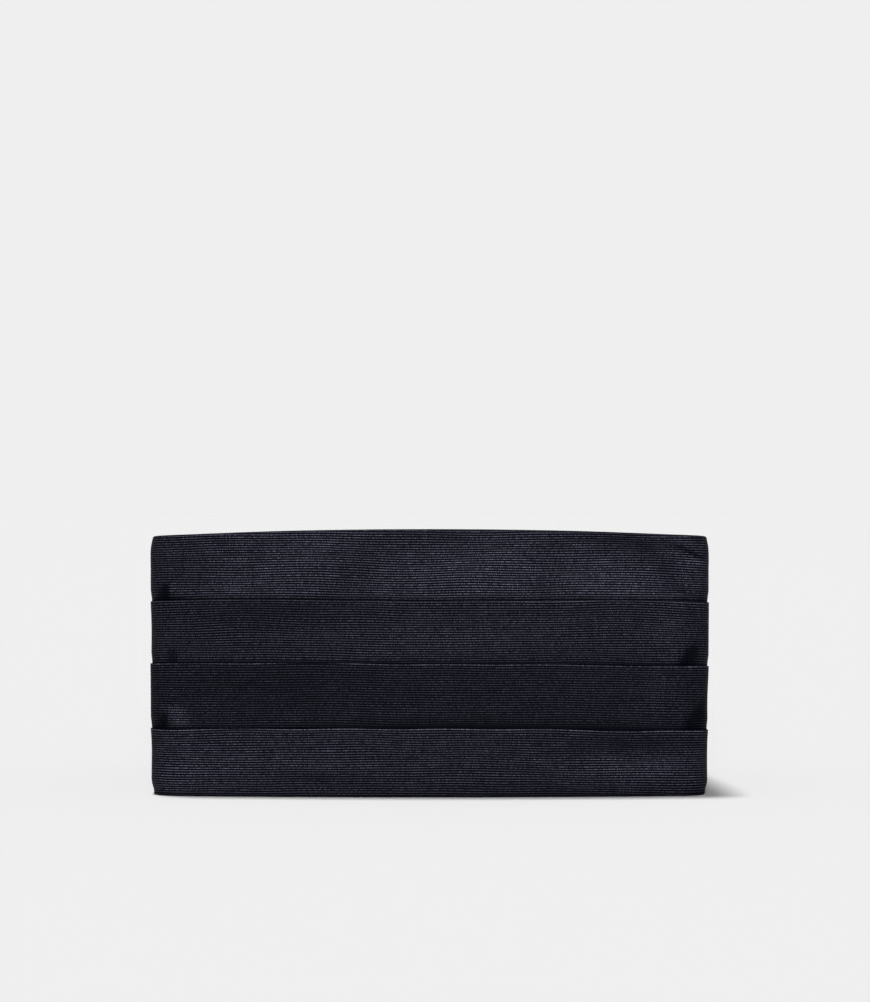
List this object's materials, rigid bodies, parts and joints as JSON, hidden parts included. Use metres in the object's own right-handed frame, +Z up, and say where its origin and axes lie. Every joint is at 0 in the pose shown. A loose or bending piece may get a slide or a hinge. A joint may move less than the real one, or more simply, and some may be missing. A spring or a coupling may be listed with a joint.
{
  "type": "pleated cummerbund",
  "caption": "Pleated evening waist band of ribbed cloth, fastened into a standing loop by a narrow strap and a slotted clasp.",
  "frame": {"origin": "on the floor under the middle of the whole loop's bounding box", "axes": "+Z up, +X to the wearer's left along the front as seen from outside, the pleated front faces -Y"},
  "size_m": [0.253, 0.2026, 0.12],
  "materials": {
    "ribbed_cloth": "navy grosgrain silk with horizontal ribs and a soft sheen",
    "plain_cloth": "navy plain-woven backing cloth, matt",
    "strap_webbing": "navy woven strap, matt",
    "clasp_metal": "nickel plate, satin bright"
  },
  "bodies": {
    "root": {"pleated_front": "ribbed_cloth", "back_panel": "plain_cloth", "end_tab_left": "ribbed_cloth", "end_tab_right": "ribbed_cloth", "strap_left": "strap_webbing", "strap_right": "strap_webbing", "clasp": "clasp_metal"}
  },
  "joints": []
}
